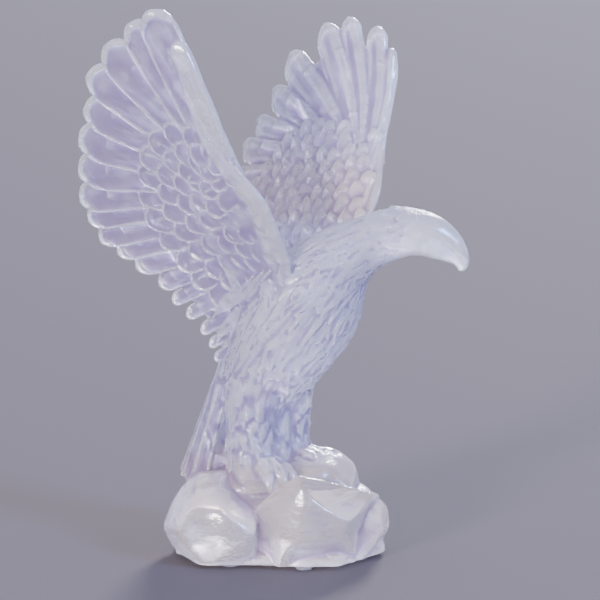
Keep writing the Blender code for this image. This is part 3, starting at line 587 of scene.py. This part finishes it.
def coverts(casting, side, tips, arm, edge, face, row_gap, gap, length, width, hollow, band):
    """Staggered rows of scales from over the feathers' roots in to the leading edge."""
    outer = face > 0
    edge_line = np.array([along(edge, place) for place in np.linspace(0, len(edge) - 1, EDGE_STEPS)])
    spots = outer_spots if outer else inner_spots
    ends = []
    for end, run, row in spots(tips, arm, edge_line, row_gap, gap):
        smooth = band * between(*BAND_SPREAD, ease(1 - end[1] / BAND_HEIGHT)) if outer else band
        room = np.linalg.norm(edge_line - end, axis=1).min() - smooth
        crowded = ends and np.linalg.norm(np.array(ends) - end, axis=1).min() < CROWDED * row_gap
        if room < 0 or crowded:
            continue
        ends.append(end)
        fit = min(1.0, between(LEAST_FIT, 1, room / FIT_ROOM))
        fade = min(1.0, between(LEAST_FADE, 1, room / FADE_ROOM)) if outer else 1.0
        size = between(LEAST_NARROWING, 1, fit) * (OUTER_SIZE - OUTER_SHRINKING * row if outer else 1)
        rise = COVERT_HEIGHT + (OUTER_STACKING * row * row_gap * fade if outer else INNER_HEIGHT)
        reach = length * fit * max(1, LENGTHENING * size)
        feather(casting, side, end - run * reach, end, width * size * CHANCE.uniform(*COVERT_WIDTHS),
                lift=(face * (rise - COVERT_SINK), face * (rise + CHANCE.uniform(*COVERT_LIFTS) * fade)),
                tilt=-COVERT_TILT * face, hollows=(hollow * fade, hollow * fade), painted_shine=fade,
                **COVERT_BLADE)


def wing(casting, side, tips, arm, edge, lap, tip_round):
    web(casting, side, tips, arm)
    shoulder_web(casting, side, arm, edge)
    leading_edge(casting, side, edge)
    flight_feathers(casting, side, tips, arm, lap, tip_round)
    coverts(casting, side, tips, arm, edge, 1, **OUTER_COVERTS)
    coverts(casting, side, tips, arm, edge, -1, **INNER_COVERTS)
    flank(casting, side)


def flank(casting, side):
    """Long curved locks from the shoulder down over the crease between wing and body."""
    for row in range(FLANK_ROWS):
        for k in range(FLANK_LOCKS):
            back = FLANK_START[0] + FLANK_BACK * k + stray(FLANK_STRAY)
            up = FLANK_START[1] - FLANK_DROP * row - FLANK_DOWN * k + stray(FLANK_STRAY)
            height = FLANK_OUT - FLANK_SINK * k
            root = wing_point(side, back, up, height)
            run = unit(wing_point(side, back + 1, up - FLANK_FALL - FLANK_FALL_GAIN * row, height) - root)
            lock(casting, root, run, square_to(run, unit(FLANK_FACING * (1, side, 1))), FLANK_LOCK)


def legs(casting):
    for side in (-1, 1):
        leg = LEG.astype(float)
        leg[:, 1] = side * (LEG_STANCE + LEG[:, 1])
        tube(casting, leg)
        for heading in TOE_HEADINGS:
            toe(casting, side, math.radians(heading + side * FOOT_TURN))


def toe(casting, side, turn):
    """A toe laid over the rock, ending in a hooked claw."""
    forward = np.array([math.cos(turn), math.sin(turn), 0])
    ankle = ANKLE * (1, side, 1)
    rows = []
    for reach, drop, half in TOE:
        rows.append((*(ankle + forward * reach - (0, 0, drop)), half, half, math.degrees(turn)))
    tube(casting, np.array(rows), count=20, rim=0.6)


def tail(casting):
    """Long stiff feathers from the rump down to the rock, in a bow round the back of the legs."""
    for turn in np.linspace(-TAIL_SWEEP, TAIL_SWEEP, TAIL_COUNT):
        ends = []
        for centre, (half_width, depth) in ((TAIL_ROOT, TAIL_ROOT_BOW), (TAIL_TIP, TAIL_TIP_BOW)):
            ends.append(centre + (-depth * math.cos(turn), half_width * math.sin(turn), 0))
        outward = np.array([-math.cos(turn), math.sin(turn), TAIL_LEAN])
        strip(casting, *ends, outward, TAIL_WIDTH, TAIL_THICKNESS)


def strip(casting, root, tip, outward, width, thick):
    """A straight blade in space with raised edges and fine grooves, for the tail."""
    run = unit(tip - root)
    across = unit(np.cross(run, outward))
    out = unit(np.cross(across, run))
    length = np.linalg.norm(tip - root)
    u = np.sin(math.pi / 2 * np.linspace(-1, 1, 21))
    rings = []
    for t in np.linspace(0, 1, TAIL_STEPS):
        past = max(0.0, (t - TAIL_TIP_START) / (1 - TAIL_TIP_START))
        half = width / 2 * between(TAIL_ROOT_WIDTH, 1, t) * math.sqrt(max(1 - past ** 2, TAIL_OPENING))
        crown = thick / 2 * between(TAIL_MIDDLE, 1, np.abs(u) ** 3)
        crown = crown + TAIL_GROOVE_DEPTH * np.cos(u * TAIL_GROOVES * math.pi)
        crown = np.where(np.abs(u) > 0.99, thick * TAIL_EDGE, crown)
        centre = root + run * length * t
        top = centre + np.outer(u * half, across) + np.outer(crown, out)
        bottom = centre + np.outer(u * half, across) - np.outer(crown, out)
        rings.append(np.concatenate([top, bottom[::-1]]))
    around = np.concatenate([u, u[::-1]])[None, :]
    casting.loft(rings, around * width / 2, np.linspace(0, length, TAIL_STEPS)[:, None],
                 rim=np.abs(around) ** 4)


def square_to(run, out):
    """The way out, made square to the way a lock runs."""
    return unit(out - run * np.dot(run, out))


def lock(casting, root, run, out, kind, size=1.0, smoothing=0.0):
    """A pointed lock of feathers lying on the body, its point standing a little clear."""
    drawn = {name: CHANCE.uniform(*limits) * size for name, limits in kind.items()}
    length, width, curl = drawn["length"], drawn["width"], drawn["curl"]
    height = drawn["height"] * (1 - smoothing)
    across = np.cross(out, run)
    t = np.linspace(0, 1, LOCK_STEPS)
    rings = []
    for share in t:
        half = width / 2 * math.sin(math.pi * between(*LOCK_SWELL, share)) ** LOCK_FULLNESS
        centre = root + run * length * share + out * height * between(*LOCK_RISE, share)
        centre = centre + across * curl * share ** 2
        rings.append(ring(centre, across, out, half, height * between(*LOCK_DEPTH, share), LOCK_SIDES))
    around = np.cos(np.linspace(0, 2 * math.pi, LOCK_SIDES))[None, :]
    casting.loft(rings, around * width / 2, t[:, None] * length, rim=between(*LOCK_RIM, t[:, None]))


def skin_point(table, place, turn, sink):
    """A place on a tube's skin, at an angle round it, with the way out from it."""
    centre, across, deep, half_width, half_depth = spine_frame(table, place)
    side, back = math.cos(turn), math.sin(turn)
    out = unit(side * half_depth * across + back * half_width * deep)
    return centre + sink * (across * side * half_width + deep * back * half_depth), out


def locks_down(casting, table, top, bottom, rows):
    """Flame-like locks down a tube's skin from one place of its table to another, never in line."""
    for row in range(rows):
        place = top + (bottom - top) * row / (rows - 1)
        girth = along(table, place)[3]
        size = BODY_LEAST_SIZE + BODY_SIZE_GAIN * min(girth / FULL_GIRTH, 1)
        smoothing = HEAD_SMOOTHING * ease((place - HEAD_START) / HEAD_RUN)
        count = int(round(2 * math.pi * girth / (BODY_GAP * size)))
        for k in range(count):
            turn = 2 * math.pi * (k + 0.5 * (row % 2) + stray(BODY_STRAY_ROUND)) / count
            start = place + stray(BODY_STRAY_ALONG)
            root, out = skin_point(table, start, turn, BODY_SINK)
            below, _ = skin_point(table, start - BODY_AIM, turn + stray(BODY_VEER), BODY_SINK)
            run = unit(below - root)
            lock(casting, root, run, square_to(run, out), BODY_LOCK, size, smoothing)


def leg_locks(casting):
    """Shaggy locks down each thigh, with pits between them."""
    for side in (-1, 1):
        for row in range(LEG_ROWS):
            for k in range(LEG_LOCKS):
                turn = 2 * math.pi * (k + stray(LEG_STRAY_ROUND)) / LEG_LOCKS
                out = np.array([math.cos(turn), math.sin(turn), 0])
                level = LEG_TOP - LEG_DROP * row + stray(LEG_STRAY)
                root = np.array([THIGH_BACK, side * LEG_STANCE, level]) + out * THIGH_RADIUS
                sway = stray(LEG_SWAY)
                run = unit(np.array([-out[1] * sway, out[0] * sway, -1.0]))
                lock(casting, root, run, out, LEG_LOCK)


def rock_to_world(points):
    """Turns places in the rock's own axes to face the way its broad front faces."""
    right = np.array([math.cos(ROCK_TURN), math.sin(ROCK_TURN), 0])
    forward = np.array([math.sin(ROCK_TURN), -math.cos(ROCK_TURN), 0])
    return points @ np.array([right, forward, (0, 0, 1)])


def stone(casting, centre, radii, flats, crispness, ledge):
    """A block with planes struck off it. Crispness sharpens the edges between them, and ledge is
    how deep the level steps round it are."""
    mesh = bmesh.new()
    bmesh.ops.create_icosphere(mesh, subdivisions=6, radius=1.0)
    ball = np.array([vertex.co[:] for vertex in mesh.verts])
    faces = [[vertex.index for vertex in face.verts] for face in mesh.faces]
    mesh.free()
    block = np.copysign(np.abs(ball) ** STONE_SQUARENESS, ball) * radii
    over = np.ones(len(block))
    for heading, slope, distance in flats:
        a, e = math.radians(heading), math.radians(slope)
        normal = np.array([math.sin(a) * math.cos(e), math.cos(a) * math.cos(e), math.sin(e)])
        over += np.maximum(block @ normal / distance, 0) ** crispness
    block /= over[:, None] ** (1 / crispness)
    chips = np.array([noise.fractal(Vector(place * RIPPLE_STRETCH) / RIPPLE_LENGTH, *RIPPLE_OCTAVES)
                      for place in block + centre])
    steps = (block[:, 2] + LEDGE_DIP * block[:, 0] + LEDGE_WAVER * chips) / LEDGE_GAP
    inset = RIPPLE_DEPTH * chips - ledge * (steps - np.floor(steps))
    block *= (1 + np.minimum(inset, 0) / np.linalg.norm(block, axis=1))[:, None]
    points = rock_to_world(block + centre)
    casting.add(points, faces, points * STONE_STROKES, np.full(len(points), STONE_RIM))


def placed(name, data):
    """A new object in the scene."""
    made = bpy.data.objects.new(name, data)
    bpy.context.scene.collection.objects.link(made)
    return made


def fused_skin(casting):
    """One closed skin round all the shells, softened, thinned and sawn flat underneath."""
    points = np.concatenate(casting.points)
    points[:, 2] = np.maximum(points[:, 2], UNDERSIDE)
    mesh = bpy.data.meshes.new("shells")
    mesh.from_pydata((points * MM).tolist(), [], casting.faces)
    shape = bmesh.new()
    shape.from_mesh(mesh)
    bmesh.ops.recalc_face_normals(shape, faces=shape.faces)
    shape.to_mesh(mesh)
    shape.free()
    shells = placed("shells", mesh)
    fuse = shells.modifiers.new("fuse", "REMESH")
    fuse.mode = "VOXEL"
    fuse.voxel_size = SKIN_CELL * MM
    soften = shells.modifiers.new("soften", "SMOOTH")
    soften.factor = 0.5
    soften.iterations = SKIN_SOFTENING
    bpy.context.view_layer.update()
    count = len(shells.evaluated_get(bpy.context.evaluated_depsgraph_get()).data.polygons)
    thin = shells.modifiers.new("thin", "DECIMATE")
    thin.ratio = min(1.0, SKIN_TRIANGLES / (2 * count))
    bpy.context.view_layer.update()
    skin = bpy.data.meshes.new_from_object(shells.evaluated_get(bpy.context.evaluated_depsgraph_get()))
    bpy.data.objects.remove(shells)
    return skin, points


def vertex_rows(skin, name):
    """Three numbers for each vertex of the skin, as rows."""
    values = np.empty(3 * len(skin.vertices), np.float32)
    skin.vertices.foreach_get(name, values)
    return values.reshape(-1, 3)


def standing_out(skin, where, passes):
    """How far each point stands out from the skin smoothed over so many passes, in millimetres."""
    ends = np.empty(2 * len(skin.edges), np.int32)
    skin.edges.foreach_get("vertices", ends)
    a, b = ends.reshape(-1, 2).T
    count = len(where)
    neighbours = np.maximum(np.bincount(a, minlength=count) + np.bincount(b, minlength=count), 1)
    smooth = where.copy()
    for _ in range(passes):
        for axis in range(3):
            line = smooth[:, axis]
            around = np.bincount(a, line[b], count) + np.bincount(b, line[a], count)
            smooth[:, axis] = (line + around / neighbours) / 2
    return ((where - smooth) * vertex_rows(skin, "normal")).sum(axis=1)


def crumple(where):
    """How far each point is moved along its normal: in by the pits of the legs, and either way by
    the slow waves."""
    pits = np.array([noise.noise(Vector(place / PIT_LENGTH)) for place in where])
    waves = np.array([noise.noise(Vector(place) / WAVE_LENGTH) for place in where])
    return np.minimum(PIT_DEPTH * zone(where, PITTED_LEGS) * pits, 0) * 2 + WAVE_DEPTH * waves


def warm_reflection(where, normals):
    """How much painted warm reflection tints the glass cream at each point: on the stones, most of
    all on their tops, and low on the left wing's inner face."""
    stones = between(SIDE_REFLECTION, 1, zone(normals, LOOKING_UP)) * zone(where, WARM_REFLECTION_ROCK)
    return np.maximum(stones, zone(where, WARM_REFLECTION_WING) * zone(normals, LOOKING_IN))


def mark_skin(skin, casting, points):
    """Pits the skin, and gives each point of it the lie of the nearest point of the shells, its
    relief, from 0 in a hollow to 1 on a rim or ridge, which sets painted shade and painted
    highlights in the colour, and how much painted warm reflection it gets."""
    tree = kdtree.KDTree(len(points))
    for index, point in enumerate(points):
        tree.insert(point, index)
    tree.balance()
    where = vertex_rows(skin, "co") / MM
    normals = vertex_rows(skin, "normal")
    pits = crumple(where)
    where += normals * pits[:, None]
    skin.vertices.foreach_set("co", (where * MM).astype(np.float32).ravel())
    skin.update()
    nearest = np.array([tree.find(point)[1] for point in where])
    lie = np.concatenate(casting.lie)[nearest].astype(np.float32)
    rim = np.concatenate(casting.rim)[nearest]
    # Relief: painted highlights on rims and ridges, painted shade in hollows and pits
    relief = (PLAIN_RELIEF + RIM_HIGHLIGHT * rim + PIT_SHADE * np.minimum(pits, 0)
              + standing_out(skin, where, FINE_PASSES) / FINE_RELIEF
              + standing_out(skin, where, BROAD_PASSES) / BROAD_RELIEF)
    where = np.clip(where, CASTING_LOW, CASTING_HIGH) * MM
    skin.vertices.foreach_set("co", where.astype(np.float32).ravel())
    skin.attributes.new("lie", "FLOAT_VECTOR", "POINT").data.foreach_set("vector", lie.ravel())
    marks = {"relief": np.clip(relief, 0, 1), "warm_reflection": warm_reflection(where / MM, normals)}
    for name, values in marks.items():
        mark = skin.attributes.new(name, "FLOAT", "POINT")
        mark.data.foreach_set("value", values.astype(np.float32))
    skin.update()


def colour(code):
    """An sRGB hex value as linear red, green, blue and alpha."""
    parts = [int(code[k:k + 2], 16) / 255 for k in (1, 3, 5)]
    return (*(part / 12.92 if part <= 0.04045 else ((part + 0.055) / 1.055) ** 2.4 for part in parts), 1.0)


def add_node(tree, kind, settings=None, sockets=None, links=None):
    """A node with its settings, its sockets' values, and what is linked into its sockets."""
    node = tree.nodes.new(kind)
    for name, value in (settings or {}).items():
        setattr(node, name, value)
    for name, value in (sockets or {}).items():
        node.inputs[name].default_value = value
    for name, source in (links or {}).items():
        tree.links.new(source, node.inputs[name])
    return node


def new_material(name, sockets):
    made = bpy.data.materials.new(name)
    made.use_nodes = True
    shader = made.node_tree.nodes["Principled BSDF"]
    for socket_name, value in sockets.items():
        shader.inputs[socket_name].default_value = value
    return made, made.node_tree, shader


def ramp(tree, factor, stops):
    node = add_node(tree, "ShaderNodeValToRGB", links={"Fac": factor})
    elements = node.color_ramp.elements
    while len(elements) < len(stops):
        elements.new(0.5)
    for element, (place, code) in zip(elements, stops):
        element.position = place
        element.color = colour(code)
    return node.outputs["Color"]


def speckle(tree, vector, scale, detail=2.0):
    """Fine noise in the space of a vector."""
    node = add_node(tree, "ShaderNodeTexNoise", sockets={"Scale": scale, "Detail": detail},
                    links={"Vector": vector})
    return node.outputs["Fac"]


def marked(tree, name, output="Fac"):
    """What the skin's mesh carries under a name."""
    return add_node(tree, "ShaderNodeAttribute", {"attribute_name": name}).outputs[output]


def socket(node, identifier):
    """A node's input found by its identifier, where several share one name."""
    return next(entry for entry in node.inputs if entry.identifier == identifier)


def acid_etched_lead_crystal():
    """Lead crystal cast in a mould and dipped in acid: light goes through it and comes out
    scattered, so it looks milky. Its colour carries painted shade that makes its hollows purple
    grey, painted highlights that make its rims blue white, and a painted warm reflection that
    makes the stones and the low left wing cream."""
    made, tree, shader = new_material("acid_etched_lead_crystal", {
        "IOR": 1.54, "Transmission Weight": 0.8, "Coat Weight": 0.15, "Coat Roughness": 0.15})
    relief = marked(tree, "relief")
    # Barbs about 1.5 mm apart and 15 mm long, drawn coarser than real ones so that they show
    combed = add_node(tree, "ShaderNodeMapping", sockets={"Scale": (0.65, 0.07, 1.0)},
                      links={"Vector": marked(tree, "lie", "Vector")})
    barbs = speckle(tree, combed.outputs["Vector"], 1.0)
    place = add_node(tree, "ShaderNodeTexCoord").outputs["Object"]
    # Cloudy depth of the casting, about 12 mm across
    drift = add_node(tree, "ShaderNodeMapRange",
                     sockets={"From Min": 0.3, "From Max": 0.7, "To Min": -0.1, "To Max": 0.1},
                     links={"Value": speckle(tree, place, 85.0, detail=3.0)})
    drifted = add_node(tree, "ShaderNodeMath", {"operation": "ADD"})
    tree.links.new(relief, drifted.inputs[0])
    tree.links.new(drift.outputs["Result"], drifted.inputs[1])
    # Painted shade and highlights: purple grey in the hollows, blue white on the rims and ridges
    tint = ramp(tree, drifted.outputs["Value"], [
        (0.0, "#AF9CC8"), (0.35, "#DCD4F0"), (0.65, "#EEF0FF"), (0.85, "#FAFBFF"), (1.0, "#FFFFFF")])
    # Painted warm reflection: a cream cast on the stones and low on the left wing
    reflection_mix = add_node(tree, "ShaderNodeMix", {"data_type": "RGBA", "blend_type": "MULTIPLY"},
                      links={"Factor": marked(tree, "warm_reflection")})
    socket(reflection_mix, "B_Color").default_value = colour("#FFEBD6")
    tree.links.new(tint, socket(reflection_mix, "A_Color"))
    tree.links.new(reflection_mix.outputs[2], shader.inputs["Base Color"])
    # Etch grain, about 1.2 mm across
    grain = speckle(tree, place, 850.0)
    strokes = add_node(tree, "ShaderNodeBump", sockets={"Strength": 0.4, "Distance": 0.0006},
                       links={"Height": barbs})
    etched = add_node(tree, "ShaderNodeBump", sockets={"Strength": 0.1, "Distance": 0.0003},
                      links={"Height": grain, "Normal": strokes.outputs["Normal"]})
    tree.links.new(etched.outputs["Normal"], shader.inputs["Normal"])
    # Rims are a little smoother than hollows
    satin = add_node(tree, "ShaderNodeMapRange", sockets={"To Min": 0.36, "To Max": 0.14},
                     links={"Value": relief})
    tree.links.new(satin.outputs["Result"], shader.inputs["Roughness"])
    return made


def cast_polyurethane():
    """Clear domed bumper, cast soft plastic: glossy and see-through with a faint grey cast."""
    made, tree, shader = new_material(
        "cast_polyurethane", {"Roughness": 0.12, "IOR": 1.49, "Transmission Weight": 0.85})
    place = add_node(tree, "ShaderNodeTexCoord").outputs["Object"]
    tint = ramp(tree, speckle(tree, place, 300.0), [(0.3, "#E4E6EA"), (0.7, "#F4F6F8")])
    tree.links.new(tint, shader.inputs["Base Color"])
    return made


def eagle(finish):
    """The whole casting as one piece, in place of its solid."""
    casting = Casting()
    shoulders = [SHOULDER * (1, side, 1, 1, 1, 1) for side in (-1, 1)]
    for table in (TRUNK, *shoulders):
        tube(casting, table)
    wing(casting, -1, RIGHT_TIPS, RIGHT_ARM, RIGHT_EDGE, lap=1.18, tip_round=0.72)
    wing(casting, 1, LEFT_TIPS, LEFT_ARM, LEFT_EDGE, lap=0.78, tip_round=0.55)
    legs(casting)
    tube(casting, SKIRT)
    tail(casting)
    locks_down(casting, TRUNK, top=0.6, bottom=9.6, rows=34)
    for table in shoulders:
        locks_down(casting, table, top=0.3, bottom=2.5, rows=6)
    leg_locks(casting)
    for shape in STONES:
        stone(casting, *shape)
    skin, points = fused_skin(casting)
    mark_skin(skin, casting, points)
    skin.shade_smooth()
    skin.materials.clear()
    skin.materials.append(finish)
    made = placed("crystal_eagle", skin)
    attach(made, "root")
    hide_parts("eagle_figurine")


def camera():
    """The photograph's view, with the foot of the figure at FOOT_PIXEL."""
    right = np.array([math.cos(VIEW_TURN), math.sin(VIEW_TURN), 0])
    ahead = np.array([-math.sin(VIEW_TURN) * math.cos(VIEW_RISE),
                      math.cos(VIEW_TURN) * math.cos(VIEW_RISE), -math.sin(VIEW_RISE)])
    up = np.cross(right, ahead)
    middle = PHOTO_SIZE / 2
    aside, above = (middle - FOOT_PIXEL[0]) / PIXELS_PER_MM, (FOOT_PIXEL[1] - middle) / PIXELS_PER_MM
    target = right * aside + up * above
    eye = (target - ahead * VIEW_DISTANCE) * MM
    lens = bpy.data.cameras.new("photograph_view")
    lens.lens_unit = "FOV"
    lens.angle = 2 * math.atan(middle / (VIEW_DISTANCE * PIXELS_PER_MM))
    made = placed("photograph_view", lens)
    axes = Matrix((right, up, -ahead)).transposed().to_4x4()
    axes.translation = eye
    made.matrix_world = axes
    bpy.context.scene.camera = made


def towards(turn, rise):
    """The way from the figure at a turn to the camera's right and a rise above level, in degrees."""
    a, e = VIEW_TURN + math.radians(turn), math.radians(rise)
    return Vector((math.sin(a) * math.cos(e), -math.cos(a) * math.cos(e), math.sin(e)))


def daylight(name, turn, rise, strength, code):
    """Broad daylight from one side, which lights the floor evenly right to the back."""
    lamp = bpy.data.lights.new(name, "SUN")
    lamp.energy = strength
    lamp.angle = DAYLIGHT_BREADTH
    lamp.color = colour(code)[:3]
    way = towards(turn, rise).to_track_quat("Z", "Y")
    placed(name, lamp).matrix_world = way.to_matrix().to_4x4()


def studio():
    """A plain matt floor, three broad lights and an even surround."""
    corners = [(x * FLOOR_HALF, y * FLOOR_HALF, 0) for x, y in ((-1, -1), (1, -1), (1, 1), (-1, 1))]
    mesh = bpy.data.meshes.new("floor")
    mesh.from_pydata(corners, [], [(0, 1, 2, 3)])
    paint = {"Base Color": colour("#5C5554"), "Roughness": 0.9, "Specular IOR Level": 0.1}
    mesh.materials.append(new_material("matt_painted_board", paint)[0])
    placed("floor", mesh)
    world = bpy.data.worlds.new("even_surround")
    world.use_nodes = True
    surround = world.node_tree.nodes["Background"].inputs
    surround["Color"].default_value = colour("#C6CEF4")
    surround["Strength"].default_value = 1.8
    bpy.context.scene.world = world
    daylight("daylight", -34, 11, 6.2, "#FFF6FC")
    daylight("sky_light", 52, 24, 4.8, "#8AACFF")
    daylight("back_light", 165, 26, 6.0, "#F4F2FF")


camera()
studio()
eagle(acid_etched_lead_crystal())
bumper_finish = cast_polyurethane()
for name in ("bumper_right", "bumper_front", "bumper_back", "bumper_left"):
    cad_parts[name].data.materials.clear()
    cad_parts[name].data.materials.append(bumper_finish)
